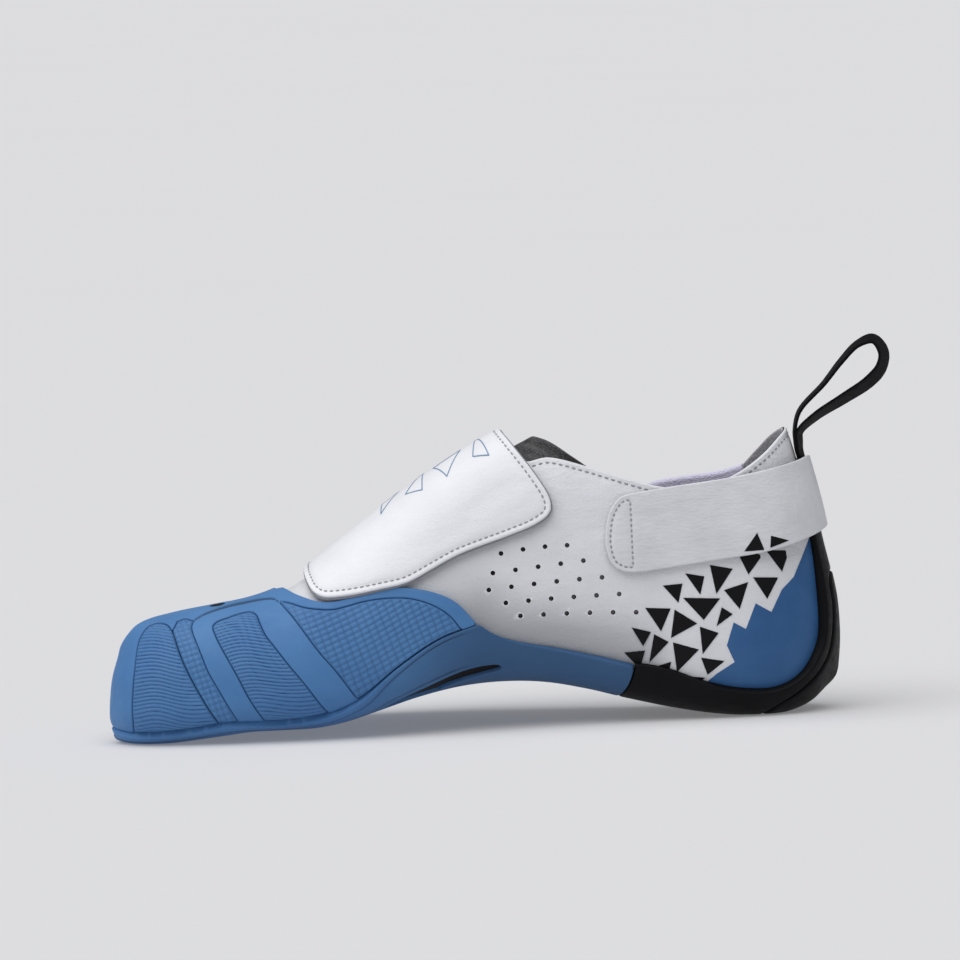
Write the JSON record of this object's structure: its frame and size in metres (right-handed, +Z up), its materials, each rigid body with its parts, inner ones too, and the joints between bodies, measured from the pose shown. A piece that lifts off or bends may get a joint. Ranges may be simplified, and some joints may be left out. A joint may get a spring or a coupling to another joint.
{
  "type": "climbing shoe",
  "caption": "Low climbing shoe for the right foot: hollow upper, rubber toe cap and arched sole, wide instep strap, heel strap and a pull loop.",
  "frame": {"origin": "centre of the bounding box's underside, on the floor that the shoe stands on", "axes": "+X from the toe to the heel, +Y from the medial side to the lateral side, +Z up"},
  "size_m": [0.2656, 0.0894, 0.1245],
  "materials": {
    "upper_white": "smooth white synthetic leather, satin",
    "rubber_blue": "matt blue rubber",
    "rubber_black": "matt black rubber",
    "knit_grey": "dark heathered knit",
    "insole_board": "plain grey lining",
    "lining_lilac": "soft pale lilac lining",
    "strap_white": "smooth white synthetic leather, satin",
    "webbing_black": "fine black webbing"
  },
  "bodies": {
    "root": {"upper": "upper_white", "outsole": "rubber_blue", "toe_cap": "rubber_blue", "arch_inlay": "rubber_black", "heel_rand": "rubber_black", "heel_bumper": "rubber_black", "tongue": "knit_grey", "insole": "insole_board", "collar_pad": "lining_lilac", "instep_strap": "strap_white", "heel_strap": "strap_white", "pull_loop": "webbing_black"}
  },
  "joints": []
}
